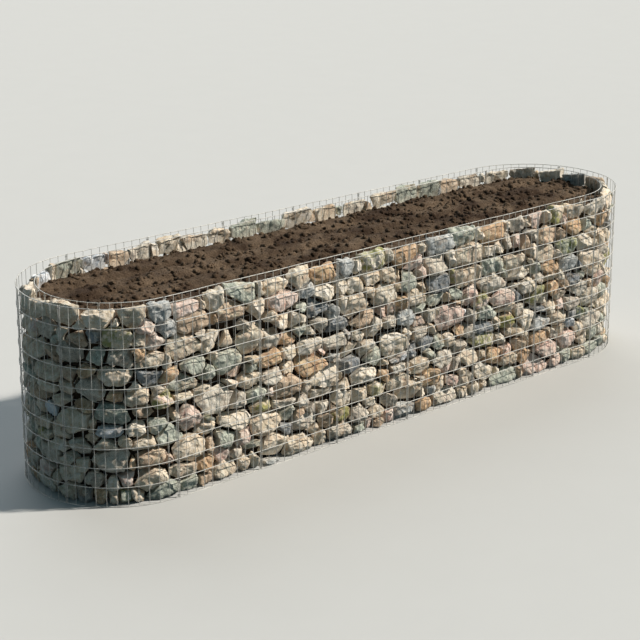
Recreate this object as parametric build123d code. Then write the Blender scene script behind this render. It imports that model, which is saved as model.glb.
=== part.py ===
from build123d import *
import math
import os

# Gabion raised bed: a wall of stones between an outer and an inner wire mesh,
# laid out as a long oval with straight sides and rounded ends, filled with soil.
# The origin is on the ground in the middle of the bed. X runs along the bed
# towards its far end, Y towards its back and Z up. Lengths are in millimetres.

# Driving dimensions of the bed
height = 1000.0            # ground to the top of the top wire
end_radius = 500.0         # outside of a rounded end, and half the width
bay_length = 500.0         # one straight mesh panel, joint to joint
bays = 6                   # straight mesh panels on each long side
side_panel_angle = 66.0    # degrees of each rounded panel that meets a long side
wall = 95.0                # outside of the outer mesh to the soil side of the inner mesh
fill_drop = 15.0           # top of the mesh down to the top of the stones
soil_drop = 70.0           # top of the mesh down to the ridges of the soil
furrow = 25.0              # depth of the furrows between the ridges
furrow_half_width = 65.0   # middle of a furrow to the flat top of a ridge
soil_rows = 4              # low ridges of soil along the bed, one for each row of plants

# Wires
wire = 4.0                 # thickness of every mesh wire
binder = 4.0               # width of the binder rod that joins two panels
fit = 0.3                  # clearance beside a binder and behind a rounded mesh

# How the mesh is divided
outer_row_spaces = 10      # spaces between the level wires of the outer mesh
inner_row_spaces = 3       # spaces between the level wires of the inner mesh
bay_upright_spaces = 2     # spaces between the uprights of a straight outer panel
inner_upright_spaces = 8   # spaces between the uprights of a straight inner panel
inner_end_panels = 4       # inner mesh panels round each end
outer_chords = 5           # short straight lengths in the rows of a rounded outer panel
inner_chords = 3           # the same in a rounded inner panel

# How the stones are divided
bays_per_fill = 2          # mesh panels in front of one straight stretch of stones
fills_per_end = 2          # stretches of stones round each end

# Sizes that follow from them
straight = bays * bay_length
inner_radius = end_radius - wall
half_turn = 180.0
front_heading = 270.0
middle_panel_angle = half_turn - 2 * side_panel_angle
outer_joints = (0.0, side_panel_angle, side_panel_angle + middle_panel_angle, half_turn)
inner_joints = tuple(half_turn * i / inner_end_panels for i in range(inner_end_panels + 1))
mesh_depth = 2 * wire
fill_height = height - fill_drop
soil_height = height - soil_drop


outer_half_chord = math.radians(max(side_panel_angle, middle_panel_angle) / outer_chords / 2)
inner_half_chord = math.radians(half_turn / inner_end_panels / inner_chords / 2)

# The edge uprights of two rounded panels lean towards each other behind the binder
outer_inset = binder / 2 + fit + mesh_depth * math.tan(outer_half_chord)
inner_inset = binder / 2 + fit

# Faces of the stones, flat against the straight meshes and just clear of the round ones
fill_front = end_radius - mesh_depth
fill_back = inner_radius + mesh_depth
fill_outer_radius = end_radius * math.cos(outer_half_chord) - mesh_depth - fit
fill_inner_radius = inner_radius + mesh_depth / math.cos(inner_half_chord) + fit
soil_end_radius = inner_radius * math.cos(inner_half_chord) - fit


def near_end_point(radius, angle):
    """Point on the near end, by its angle round from the front corner."""
    turn = math.radians(angle)
    return Vector(-straight / 2 - radius * math.sin(turn), -radius * math.cos(turn))


def rounded_line(radius, start, end, chords):
    """Corners of the chords that follow the near end from one angle to another."""
    step = (end - start) / chords
    return [near_end_point(radius, start + i * step) for i in range(chords + 1)]


def side_step(corners, index, distance):
    """A corner moved to the left of its line, so that the chords keep their distance."""
    before = (corners[index] - corners[max(index - 1, 0)])
    after = (corners[min(index + 1, len(corners) - 1)] - corners[index])
    legs = [leg.normalized().rotate(Axis.Z, 90) for leg in (before, after) if leg.length > 0]
    middle = legs[0] + legs[-1]
    return corners[index] + middle * (distance * 2 / middle.dot(middle))


def row_bar(corners, thickness):
    """One level wire, with its right face on the line of corners."""
    left = [side_step(corners, i, thickness) for i in range(len(corners))]
    outline = Polyline(*corners, *reversed(left), close=True)
    return extrude(make_face(outline), amount=thickness, dir=(0, 0, 1))


def upright_bar(corner, along, size):
    """One upright behind the rows, where a chord passes a point."""
    place = Plane(origin=corner, x_dir=along, z_dir=(0, 0, 1))
    section = place * (Pos(0, wire + wire / 2) * Rectangle(size, wire))
    return extrude(section, amount=height, dir=(0, 0, 1))


def mesh_panel(corners, inset, row_spaces, upright_places):
    """Welded mesh: rows on the line of corners and uprights on their left.

    The places are pairs of a chord's number and the share of its length.
    """
    legs = [(b - a) for a, b in zip(corners, corners[1:])]
    first = corners[0] + legs[0].normalized() * inset
    last = corners[-1] - legs[-1].normalized() * inset
    trimmed = [first, *corners[1:-1], last]
    row = row_bar(trimmed, wire)
    pitch = (height - wire) / row_spaces
    bars = [Pos(0, 0, i * pitch) * row for i in range(row_spaces + 1)]
    edge = wire / 2
    bars.append(upright_bar(first + legs[0].normalized() * edge, legs[0], wire))
    bars.append(upright_bar(last - legs[-1].normalized() * edge, legs[-1], wire))
    for chord, share in upright_places:
        bars.append(upright_bar(corners[chord] + legs[chord] * share, legs[chord], wire))
    return Part() + bars


def even_places(spaces):
    """Places of the uprights between the edges of a straight panel."""
    return [(0, i / spaces) for i in range(1, spaces)]


def straight_outer_panel():
    """Outer mesh panel of the front beside the near end."""
    start = -straight / 2
    corners = [Vector(start, -end_radius), Vector(start + bay_length, -end_radius)]
    return mesh_panel(corners, outer_inset, outer_row_spaces, even_places(bay_upright_spaces))


def straight_inner_panel():
    """Inner mesh of the front, with its rows on the soil side."""
    corners = [Vector(straight / 2, -inner_radius), Vector(-straight / 2, -inner_radius)]
    return mesh_panel(corners, inner_inset, inner_row_spaces, even_places(inner_upright_spaces))


def rounded_outer_panel(number):
    """Outer mesh panel of the near end, counted from the front."""
    corners = rounded_line(end_radius, *outer_joints[number:number + 2], outer_chords)
    return mesh_panel(corners[::-1], outer_inset, outer_row_spaces, [(outer_chords // 2, 0.5)])


def rounded_inner_panel(number):
    """Inner mesh panel of the near end, counted from the front."""
    corners = rounded_line(inner_radius, *inner_joints[number:number + 2], inner_chords)
    return mesh_panel(corners, inner_inset, inner_row_spaces, [(inner_chords // 2, 0.5)])


def front_binders():
    """Binder rods between the straight outer panels of the front."""
    places = [Vector(-straight / 2 + i * bay_length, -end_radius) for i in range(1, bays)]
    return [upright_bar(place, Vector(1, 0), binder) for place in places]


def near_end_along(angle):
    """Direction of the outer mesh at an angle round from the front corner."""
    turn = math.radians(angle)
    return Vector(math.cos(turn), -math.sin(turn))


def near_end_binders():
    """Binder rods round the near end, of the outer mesh and of the inner one."""
    outer = [(near_end_point(end_radius, a), near_end_along(a)) for a in outer_joints]
    inner = [(near_end_point(inner_radius, a), -near_end_along(a)) for a in inner_joints]
    return [upright_bar(place, along, binder) for place, along in outer + inner]


def straight_fill(number):
    """Stones behind the front mesh, counted from the near end."""
    length = bays_per_fill * bay_length
    middle = -straight / 2 + (number + 0.5) * length
    depth = fill_front - fill_back
    outline = Pos(middle, -(fill_front + fill_back) / 2) * Rectangle(length, depth)
    return extrude(outline, amount=fill_height)


def rounded_fill(number):
    """Stones round the near end, counted from the front."""
    angle = half_turn / fills_per_end
    start = front_heading - (number + 1) * angle
    centre = (-straight / 2, 0)
    outer = CenterArc(centre, fill_outer_radius, start, angle)
    inner = CenterArc(centre, fill_inner_radius, start, angle)
    sides = [Line(outer @ 0, inner @ 0), Line(outer @ 1, inner @ 1)]
    return extrude(make_face([outer, inner, *sides]), amount=fill_height)


def soil_section():
    """Section across the soil, its top raked into flat ridges with furrows between them."""
    row_width = 2 * inner_radius / soil_rows
    corners = [(-inner_radius, 0), (-inner_radius, soil_height - furrow)]
    for i in range(soil_rows):
        start = i * row_width - inner_radius
        end = start + row_width
        corners.append((start + furrow_half_width, soil_height))
        corners.append((end - furrow_half_width, soil_height))
        corners.append((end, soil_height - furrow))
    corners.append((inner_radius, 0))
    return make_face(Polyline(*corners, close=True))


def planting_soil():
    """Soil that fills the inside, up to a little below the top of the mesh."""
    outline = Rectangle(straight, 2 * inner_radius)
    for side in (-1, 1):
        outline += Pos(side * straight / 2, 0) * Circle(soil_end_radius)
    raked = extrude(Plane.YZ * soil_section(), amount=straight / 2 + inner_radius, both=True)
    return extrude(outline, amount=soil_height) & raked


def turned(shapes):
    """The same pieces on the other half of the bed."""
    return Rot(0, 0, 180) * shapes


def build_nodes():
    """All pieces by name: the front and near end, and their turned copies."""
    nodes = {}
    first_panel = straight_outer_panel()
    for i in range(bays):
        panel = Pos(i * bay_length, 0, 0) * first_panel
        nodes[f"front_mesh_panel_{i + 1}"] = panel
        nodes[f"back_mesh_panel_{bays - i}"] = turned(panel)
    outer_end_panels = len(outer_joints) - 1
    for i in range(outer_end_panels):
        panel = rounded_outer_panel(i)
        nodes[f"near_end_mesh_panel_{i + 1}"] = panel
        nodes[f"far_end_mesh_panel_{outer_end_panels - i}"] = turned(panel)
    for i in range(inner_end_panels):
        panel = rounded_inner_panel(i)
        nodes[f"near_end_inner_mesh_{i + 1}"] = panel
        nodes[f"far_end_inner_mesh_{inner_end_panels - i}"] = turned(panel)
    nodes["front_inner_mesh"] = straight_inner_panel()
    nodes["back_inner_mesh"] = turned(straight_inner_panel())
    nodes["front_binders"] = Compound(front_binders())
    nodes["back_binders"] = turned(Compound(front_binders()))
    nodes["near_end_binders"] = Compound(near_end_binders())
    nodes["far_end_binders"] = turned(Compound(near_end_binders()))
    fills = bays // bays_per_fill
    for i in range(fills):
        stones = straight_fill(i)
        nodes[f"front_stone_fill_{i + 1}"] = stones
        nodes[f"back_stone_fill_{fills - i}"] = turned(stones)
    for i in range(fills_per_end):
        stones = rounded_fill(i)
        nodes[f"near_end_stone_fill_{i + 1}"] = stones
        nodes[f"far_end_stone_fill_{fills_per_end - i}"] = turned(stones)
    nodes["planting_soil"] = planting_soil()
    return nodes


os.makedirs("parts", exist_ok=True)
for name, shape in build_nodes().items():
    export_step(shape, f"parts/{name}.step")
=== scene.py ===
"""Looks of a gabion raised bed: stones, welded wire mesh, locking rods and soil."""
import math

import bpy
import numpy as np
from bpy.props import FloatProperty, FloatVectorProperty, IntProperty, PointerProperty
from mathutils import Matrix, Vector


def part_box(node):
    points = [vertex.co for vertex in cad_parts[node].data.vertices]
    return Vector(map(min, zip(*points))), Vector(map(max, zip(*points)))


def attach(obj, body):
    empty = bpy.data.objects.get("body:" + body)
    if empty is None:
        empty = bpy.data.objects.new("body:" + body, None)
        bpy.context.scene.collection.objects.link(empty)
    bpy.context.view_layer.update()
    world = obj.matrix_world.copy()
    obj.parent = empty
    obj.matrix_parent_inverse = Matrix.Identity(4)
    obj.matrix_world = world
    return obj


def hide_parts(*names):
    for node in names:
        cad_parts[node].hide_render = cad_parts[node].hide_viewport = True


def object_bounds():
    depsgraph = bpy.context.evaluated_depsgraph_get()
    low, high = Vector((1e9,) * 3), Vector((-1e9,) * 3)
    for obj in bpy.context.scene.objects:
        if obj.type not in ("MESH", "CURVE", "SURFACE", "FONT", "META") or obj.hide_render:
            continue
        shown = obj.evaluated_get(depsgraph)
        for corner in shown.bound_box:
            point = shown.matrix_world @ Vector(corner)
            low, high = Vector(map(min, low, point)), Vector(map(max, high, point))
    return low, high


bl_info = {
    "name": "Gabion raised bed",
    "version": (1, 0, 0),
    "blender": (4, 5, 0),
    "location": "View3D > Sidebar > Gabion",
    "description": "Stones, wire mesh, locking rods and soil of a long bed with rounded ends",
    "category": "Object",
}

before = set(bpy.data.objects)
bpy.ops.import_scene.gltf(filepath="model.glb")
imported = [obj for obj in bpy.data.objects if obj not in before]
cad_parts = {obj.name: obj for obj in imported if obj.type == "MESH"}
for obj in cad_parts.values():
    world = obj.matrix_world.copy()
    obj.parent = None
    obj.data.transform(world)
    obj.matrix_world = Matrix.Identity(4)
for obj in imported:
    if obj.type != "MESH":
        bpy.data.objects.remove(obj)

# Sizes read from the frame, in metres; depths are measured in from the outer face
CAD_LOW, CAD_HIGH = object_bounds()
RIM = CAD_HIGH.z
FACE = CAD_HIGH.y
HALF_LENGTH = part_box("back_stone_fill_3")[1].x
END_FACE = CAD_HIGH.x - HALF_LENGTH
WIRE = (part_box("back_mesh_panel_1")[1].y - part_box("back_mesh_panel_1")[0].y) / 2
OUTER_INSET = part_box("back_mesh_panel_4")[0].x
INNER_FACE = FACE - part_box("back_inner_mesh")[0].y
INNER_INSET = (HALF_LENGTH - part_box("back_inner_mesh")[1].x) * FACE / (FACE - INNER_FACE)
FILL_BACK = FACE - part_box("back_stone_fill_1")[0].y
SOIL_LOW, SOIL_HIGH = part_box("planting_soil")

# The wall runs round the bed, anticlockwise from above, from the near end of the front
STRAIGHT = 2 * HALF_LENGTH
HALF_LOOP = STRAIGHT + math.pi * FACE
LOOP = 2 * HALF_LOOP

# How the bed is divided; joints are given by their angle round an end, in degrees
BAYS = 6
BAY = STRAIGHT / BAYS
OUTER_JOINTS = (0, 66, 114, 180)
INNER_JOINTS = (0, 45, 90, 135, 180)
OUTER_END_SPACES = (11, 8, 11)
INNER_END_SPACES = 6
ROW_SPACES = 10
FILLS_PER_SIDE = 3
FILLS_PER_END = 2
SOIL_ROWS = 4

# Stones
EDGE_ZONE = 0.11           # an end course has its middles this near the rim or the ground
SHOWING_DEPTH = 0.055      # a stone shows between its neighbours down to this depth
FACET = 0.0088             # longest edge left where a stone shows
BULGE = 0.32               # how far a face draws back at its rim, against the stone's half size
LEAST_DEPTH = 0.0096       # nearest that a stone comes to the outer face
JOINT_DEPTH = 0.0135       # the same behind an outer rod
JOINT_REACH = 0.012        # to either side of it
INNER_ROOM = 0.0005        # room kept in front of the inner mesh
INNER_JOINT_ROOM = 0.006   # the same in front of an inner rod
INNER_JOINT_REACH = 0.015  # to either side of it
LEAST_HEIGHT = 0.002       # lowest point of the stones
RIM_RISE = 0.004           # how far a stone may rise above the rim

# Wires, as shares of the thickness of a row
UPRIGHT_SHARE = 0.72
ROD_SHARE = 0.6
WELD_SHARE = 0.8
ROW_DEPTH_SHARE = 0.5
UPRIGHT_DEPTH_SHARE = 1.4
ROD_DEPTH_SHARE = 1.5

# Rings that tie a rod to the uprights beside it
RING_HALF_DEPTH = 0.0042
RING_TO_ROW = 0.010
RING_LEAN = 0.002
RING_CORNERS = 12

# Soil
FURROW = 0.025
FURROW_HALF_WIDTH = 0.065
CRUST = 0.07               # thickness of the finely meshed part
SOIL_MESH = 0.015          # size of its squares
SOIL_ROOM = 0.002          # room kept beside and under the soil

# Starts of the random bows of the wires and of the random clods
WIRE_SEED = 5
CLOD_SEED = 3

# Light and background; spreads and headings are in degrees
KEY_COLOUR = (1.0, 0.94, 0.85)
KEY_SPREAD = 2.5
BACK_COLOUR = (0.92, 0.96, 1.0)
BACK_SPREAD = 60
BACK_HEADING = 155
FILL_COLOUR = (0.40, 0.80, 1.0, 1)
BACKGROUND = (0.84, 0.84, 0.84, 1)
FLOOR_GLOW = (0.175, 0.225, 0.26)   # share of the floor's colour that lights the bed

MOST_STRAY = 0.15          # furthest that a piece's box may lie from its node's


# Settings


class GabionStoneSettings(bpy.types.PropertyGroup):
    """Sizes and colours of the rubble between the meshes"""

    course_height: FloatProperty(
        name="Course height", description="Mean height of a course of stones",
        default=0.094, unit="LENGTH",
    )
    stone_length: FloatProperty(
        name="Stone length", description="Mean length of a stone along the wall",
        default=0.124, unit="LENGTH",
    )
    fragments: IntProperty(
        name="Fragments", description="Small stones packed into the largest gaps",
        default=190, min=0,
    )
    gap: FloatProperty(
        name="Gap", description="Mean distance from a stone to the middle of its joint",
        default=0.0041, unit="LENGTH",
    )
    seed: IntProperty(name="Seed", description="Start of the random packing", default=11)
    cream: FloatVectorProperty(
        name="Cream", description="Palest limestone", subtype="COLOR", size=3,
        default=(0.80, 0.71, 0.585),
    )
    beige: FloatVectorProperty(
        name="Beige", description="Commonest limestone", subtype="COLOR", size=3,
        default=(0.77, 0.65, 0.51),
    )
    warm_grey: FloatVectorProperty(
        name="Warm grey", description="Weathered limestone", subtype="COLOR", size=3,
        default=(0.62, 0.555, 0.47),
    )
    green_grey: FloatVectorProperty(
        name="Green grey", description="Greenstone", subtype="COLOR", size=3,
        default=(0.47, 0.50, 0.43),
    )
    pink: FloatVectorProperty(
        name="Pink", description="Pinkish sandstone", subtype="COLOR", size=3,
        default=(0.78, 0.60, 0.52),
    )
    brown: FloatVectorProperty(
        name="Brown", description="Brownish sandstone", subtype="COLOR", size=3,
        default=(0.58, 0.44, 0.32),
    )
    tan: FloatVectorProperty(
        name="Tan", description="Iron-stained sandstone", subtype="COLOR", size=3,
        default=(0.62, 0.42, 0.26),
    )
    slate: FloatVectorProperty(
        name="Slate", description="Dark slate", subtype="COLOR", size=3,
        default=(0.25, 0.27, 0.29),
    )
    blue_grey: FloatVectorProperty(
        name="Blue grey", description="Bluish limestone", subtype="COLOR", size=3,
        default=(0.50, 0.52, 0.52),
    )
    quartz: FloatVectorProperty(
        name="Quartz", description="Bluish-white quartz", subtype="COLOR", size=3,
        default=(0.66, 0.70, 0.75),
    )
    moss: FloatVectorProperty(
        name="Moss", description="Yellow-green moss and lichen", subtype="COLOR", size=3,
        default=(0.26, 0.27, 0.07),
    )


class GabionWireSettings(bpy.types.PropertyGroup):
    """Sizes and colours of the welded mesh and its rods"""

    upright_spacing: FloatProperty(
        name="Upright spacing", description="Distance between uprights on the straight sides",
        default=0.05, unit="LENGTH",
    )
    bow: FloatProperty(
        name="Bow", description="How far a panel gives way between its joints",
        default=0.0013, unit="LENGTH",
    )
    ring_wire: FloatProperty(
        name="Ring wire", description="Diameter of the rings that tie a rod to its uprights",
        default=0.0024, unit="LENGTH",
    )
    zinc: FloatVectorProperty(
        name="Zinc", description="Galvanised coating", subtype="COLOR", size=3,
        default=(0.60, 0.59, 0.55),
    )
    rod_steel: FloatVectorProperty(
        name="Rod steel", description="Darker steel of the locking rods", subtype="COLOR", size=3,
        default=(0.24, 0.24, 0.23),
    )
    oxide: FloatVectorProperty(
        name="Oxide", description="Dull bloom on the coating", subtype="COLOR", size=3,
        default=(0.40, 0.40, 0.38),
    )


class GabionSoilSettings(bpy.types.PropertyGroup):
    """Sizes and colours of the planting soil"""

    clods: IntProperty(name="Clods", description="Loose lumps on the surface", default=2600, min=0)
    clod_size: FloatProperty(
        name="Clod size", description="Radius of the largest lumps", default=0.022, unit="LENGTH"
    )
    unevenness: FloatProperty(
        name="Unevenness", description="Height of the hollows and humps",
        default=0.030, unit="LENGTH",
    )
    moist: FloatVectorProperty(
        name="Moist", description="Damp soil", subtype="COLOR", size=3,
        default=(0.045, 0.028, 0.018),
    )
    dry: FloatVectorProperty(
        name="Dry", description="Soil dried by the sun", subtype="COLOR", size=3,
        default=(0.15, 0.105, 0.07),
    )


class GabionStageSettings(bpy.types.PropertyGroup):
    """Camera, floor and light"""

    camera_at: FloatVectorProperty(
        name="Camera", description="Place of the camera", subtype="TRANSLATION", size=3,
        default=(-5.296, -6.155, 3.270),
    )
    pitch: FloatProperty(
        name="Pitch", description="Camera tilt from straight down", subtype="ANGLE",
        default=math.radians(75.591),
    )
    yaw: FloatProperty(
        name="Yaw", description="Camera heading", subtype="ANGLE", default=math.radians(-39.587)
    )
    lens: FloatProperty(name="Lens", description="Focal length in millimetres", default=85.65)
    shift: FloatProperty(name="Shift", description="Vertical shift of the lens", default=-0.2)
    key_heading: FloatProperty(
        name="Key heading", description="How far the key light stands in front of the long axis",
        subtype="ANGLE", default=math.radians(34),
    )
    light_height: FloatProperty(
        name="Light height", description="Elevation of both lights", subtype="ANGLE",
        default=math.radians(38),
    )
    key_strength: FloatProperty(
        name="Key strength", description="Strength of the key light", default=4.9
    )
    back_strength: FloatProperty(
        name="Back strength", description="Strength of the light behind", default=1.3
    )
    fill_strength: FloatProperty(
        name="Fill strength", description="Strength of the sky light", default=0.12
    )
    floor: FloatVectorProperty(
        name="Floor", description="Pale floor", subtype="COLOR", size=3,
        default=(0.55, 0.55, 0.54),
    )


# Places on the wall


def wall_place(along, depth):
    """x and y of points on the wall and the outward heading there.

    The depth is measured in from the outer face.
    """
    half, rest = np.divmod(np.asarray(along, float), HALF_LOOP)
    heading = np.maximum(rest - STRAIGHT, 0) / FACE - math.pi / 2
    radius = np.where(rest > STRAIGHT, END_FACE, FACE) - depth
    side = np.where(half % 2 == 0, 1.0, -1.0)
    x = np.minimum(rest, STRAIGHT) - HALF_LENGTH + radius * np.cos(heading)
    y = radius * np.sin(heading)
    return side * x, side * y, heading + np.where(side > 0, 0, math.pi)


def end_place(angle, near):
    """How far along the wall a place on a rounded end lies, by its angle round that end."""
    return STRAIGHT + FACE * math.radians(angle) + (HALF_LOOP if near else 0)


def past_straight(points):
    """How far points lie past the straight part of the bed, and how far from its axis."""
    over = np.maximum(np.abs(points[:, 0]) - HALF_LENGTH, 0)
    return over, np.hypot(over, points[:, 1])


def wall_depth(points):
    """Depth of points inside the outer face."""
    over, reach = past_straight(points)
    return np.where(over > 0, END_FACE, FACE) - reach


def scale_reach(points, scale):
    """Points moved straight towards or away from the axis, each by its own scale."""
    over, _ = past_straight(points)
    moved = points.copy()
    moved[:, 0] += np.sign(points[:, 0]) * over * (scale - 1)
    moved[:, 1] *= scale
    return moved


def push_to_depth(points, depth):
    """Points moved straight in or out to the given depths."""
    over, reach = past_straight(points)
    face = np.where(over > 0, END_FACE, FACE)
    return scale_reach(points, (face - depth) / reach)


def along_of(points):
    """How far along the wall points lie."""
    x, y = points[:, 0], points[:, 1]
    over, _ = past_straight(points)
    half = np.where(over > 0, x < 0, y > 0)
    side = np.where(half, -1.0, 1.0)
    on_straight = side * x + HALF_LENGTH
    on_end = STRAIGHT + FACE * (np.arctan2(side * y, over) + math.pi / 2)
    return np.where(over > 0, on_end, on_straight) + half * HALF_LOOP


def outward_of(points):
    """Unit directions out of the wall, level with the ground."""
    over, _ = past_straight(points)
    out = np.column_stack((over * np.sign(points[:, 0]), points[:, 1], 0 * over))
    return out / np.linalg.norm(out, axis=1)[:, None]


def side_pieces(kind, number, count):
    """The front's piece of a number and the back's one, with where they start and end."""
    size = STRAIGHT / count
    starts = (("front", (number - 1) * size), ("back", HALF_LOOP + (count - number) * size))
    return [(f"{side}_{kind}_{number}", start, start + size) for side, start in starts]


def end_pieces(kind, number, low, high):
    """The far end's piece between two angles and its turned copy on the near end."""
    return [
        (f"far_end_{kind}_{number}", end_place(low, False), end_place(high, False)),
        (f"near_end_{kind}_{number}", end_place(180 - high, True), end_place(180 - low, True)),
    ]


def outer_joint_places():
    """Where the outer panels meet, along the wall."""
    places = []
    for near in (False, True):
        start = HALF_LOOP if near else 0
        places += [start + number * BAY for number in range(1, BAYS)]
        places += [end_place(angle, near) for angle in OUTER_JOINTS]
    return places


def inner_joint_places():
    """Where the inner panels meet, along the wall."""
    return [end_place(angle, near) for near in (False, True) for angle in INNER_JOINTS]


# Mesh helpers


def select_only(*pieces):
    """Selects these objects and no others, and makes the first one active."""
    bpy.ops.object.select_all(action="DESELECT")
    for piece in pieces:
        piece.select_set(True)
    bpy.context.view_layer.objects.active = pieces[0]


def open_mesh(name):
    """A new empty mesh object at the origin, open in edit mode."""
    bpy.ops.object.select_all(action="DESELECT")
    bpy.ops.mesh.primitive_cube_add(location=(0, 0, 0), calc_uvs=False)
    piece = bpy.context.object
    piece.name = piece.data.name = name
    bpy.ops.object.mode_set(mode="EDIT")
    bpy.ops.mesh.select_all(action="SELECT")
    bpy.ops.mesh.delete(type="VERT")
    return piece


def close_mesh():
    """Shows all of the mesh, turns its faces outwards and leaves edit mode."""
    bpy.ops.mesh.reveal()
    bpy.ops.mesh.select_all(action="SELECT")
    bpy.ops.mesh.normals_make_consistent(inside=False)
    bpy.ops.object.mode_set(mode="OBJECT")


def hide_finished():
    """Hides what is modelled so far, so that select all takes only the next shape."""
    bpy.ops.mesh.select_all(action="SELECT")
    bpy.ops.mesh.hide(unselected=False)


def read_points(piece):
    """A mesh's points as rows of x, y and z."""
    flat = np.empty(len(piece.data.vertices) * 3)
    piece.data.vertices.foreach_get("co", flat)
    return flat.reshape(-1, 3)


def write_points(piece, points):
    """Puts a mesh's points in new places."""
    piece.data.vertices.foreach_set("co", points.ravel())
    piece.data.update()


def read_normals(piece):
    """The directions in which a mesh's points face."""
    flat = np.empty(len(piece.data.vertices) * 3)
    piece.data.vertices.foreach_get("normal", flat)
    return flat.reshape(-1, 3)


def read_edges(piece):
    """The two points of each edge."""
    ends = np.empty(len(piece.data.edges) * 2, int)
    piece.data.edges.foreach_get("vertices", ends)
    return ends.reshape(-1, 2)


def loose_parts(piece):
    """For each point, the lowest number among the points of its loose part."""
    ends = read_edges(piece)
    lowest = np.arange(len(piece.data.vertices))
    changed = True
    while changed:
        before = lowest.copy()
        for place in (0, 1):
            np.minimum.at(lowest, ends[:, place], before[ends[:, 1 - place]])
        changed = (lowest != before).any()
    return lowest


def apply_modifier(piece, kind, **values):
    """Adds a modifier with the given values and applies it."""
    select_only(piece)
    modifier = piece.modifiers.new(kind.lower(), kind)
    for key, value in values.items():
        setattr(modifier, key, value)
    bpy.ops.object.modifier_apply(modifier=modifier.name)


def cloud_texture(name, size, depth, kind="SOFT_NOISE"):
    """A texture of clouds for a displacement."""
    texture = bpy.data.textures.get(name) or bpy.data.textures.new(name, "CLOUDS")
    texture.noise_scale = size
    texture.noise_depth = depth
    texture.noise_type = kind
    return texture


def join(pieces):
    """Joins objects into the first one."""
    select_only(*pieces)
    if len(pieces) > 1:
        bpy.ops.object.join()
    return pieces[0]


def shade(piece, angle):
    """Smooth shading, with edges sharper than the angle kept crisp."""
    select_only(piece)
    bpy.ops.object.shade_smooth_by_angle(angle=math.radians(angle))


def hand_over(piece, node, material):
    """Gives a finished piece its material and puts it in the place of its node."""
    low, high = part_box(node)
    points = read_points(piece)
    stray = max(np.abs(points.min(0) - low).max(), np.abs(points.max(0) - high).max())
    if stray > MOST_STRAY:
        raise RuntimeError(f"{piece.name} lies {stray:.3f} m away from {node}")
    piece.data.materials.clear()
    piece.data.materials.append(material)
    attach(piece, "root")
    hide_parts(node)


# Material helpers


def new_material(name):
    """A material, its node tree and its surface shader."""
    material = bpy.data.materials.new(name)
    material.use_nodes = True
    return material, material.node_tree, material.node_tree.nodes["Principled BSDF"]


def add_node(tree, kind, inputs=None, **settings):
    """Adds a shader node; an input is a value, or an output to link."""
    node = tree.nodes.new("ShaderNode" + kind)
    for key, value in settings.items():
        setattr(node, key, value)
    for key, value in (inputs or {}).items():
        if isinstance(value, bpy.types.NodeSocket):
            tree.links.new(value, node.inputs[key])
        else:
            node.inputs[key].default_value = value
    return node


def blend(tree, factor, first, second, how="MIX"):
    """Mixes two colours."""
    node = add_node(tree, "Mix", data_type="RGBA", blend_type=how, clamp_result=True)
    for place, value in ((0, factor), (6, first), (7, second)):
        if isinstance(value, bpy.types.NodeSocket):
            tree.links.new(value, node.inputs[place])
        elif place == 0:
            node.inputs[place].default_value = value
        else:
            node.inputs[place].default_value = (*value, 1)
    return node.outputs[2]


def overlay(tree, share, base, pattern, stops):
    """Makes a colour lighter and darker by a pattern."""
    return blend(tree, share, base, ramp(tree, pattern, stops), "OVERLAY")


def maths(tree, how, *values):
    """A sum on numbers."""
    return add_node(tree, "Math", dict(enumerate(values)), operation=how).outputs[0]


def vector(tree, x, y, z):
    """Three numbers as one vector."""
    return add_node(tree, "CombineXYZ", {0: x, 1: y, 2: z}).outputs[0]


def scale_vector(tree, value, scale):
    """A vector made longer."""
    return add_node(tree, "VectorMath", {0: value, "Scale": scale}, operation="SCALE").outputs[0]


def add_vectors(tree, first, second):
    """The sum of two vectors."""
    return add_node(tree, "VectorMath", {0: first, 1: second}, operation="ADD").outputs[0]


def ramp(tree, factor, stops, how="LINEAR"):
    """Colours along a ramp; a stop is a place and a colour, or a place and a grey."""
    node = add_node(tree, "ValToRGB", {"Fac": factor})
    node.color_ramp.interpolation = how
    elements = node.color_ramp.elements
    while len(elements) < len(stops):
        elements.new(1)
    for element, (place, colour) in zip(elements, stops):
        element.position = place
        element.color = (*colour, 1) if hasattr(colour, "__len__") else (colour, colour, colour, 1)
    return node.outputs["Color"]


def noise(tree, coords, scale, detail=4.0, roughness=0.55, distortion=0.0):
    """Fractal noise from 0 to 1."""
    values = {"Vector": coords, "Scale": scale, "Detail": detail}
    values.update({"Roughness": roughness, "Distortion": distortion})
    return add_node(tree, "TexNoise", values).outputs["Fac"]


def object_place(tree):
    """Object coordinates."""
    return add_node(tree, "TexCoord").outputs["Object"]


def bump(tree, height, distance, strength, under=None):
    """Normals from a height pattern."""
    values = {"Height": height, "Distance": distance, "Strength": strength}
    if under is not None:
        values["Normal"] = under
    return add_node(tree, "Bump", values).outputs["Normal"]


def direct_rays(tree):
    """1 for what is seen straight, in gloss or through glass, and 0 for what lights the bed."""
    rays = add_node(tree, "LightPath").outputs
    seen = maths(tree, "MAXIMUM", rays["Is Camera Ray"], rays["Is Transmission Ray"])
    return maths(tree, "MAXIMUM", seen, rays["Is Glossy Ray"])


# Materials


def bedding(tree, coords, kind, tone):
    """Beds of the rock, a few millimetres to two centimetres thick, turned by stone."""
    angles = scale_vector(tree, vector(tree, 0.0, tone, kind), 5.0)
    turned = add_node(
        tree, "VectorRotate", {"Vector": coords, "Rotation": angles}, rotation_type="EULER_XYZ"
    ).outputs[0]
    squashed = add_node(tree, "Mapping", {"Vector": turned, "Scale": (50, 20, 10)}).outputs[0]
    return noise(tree, squashed, 1.0, detail=6, roughness=0.65, distortion=0.5)


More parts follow.
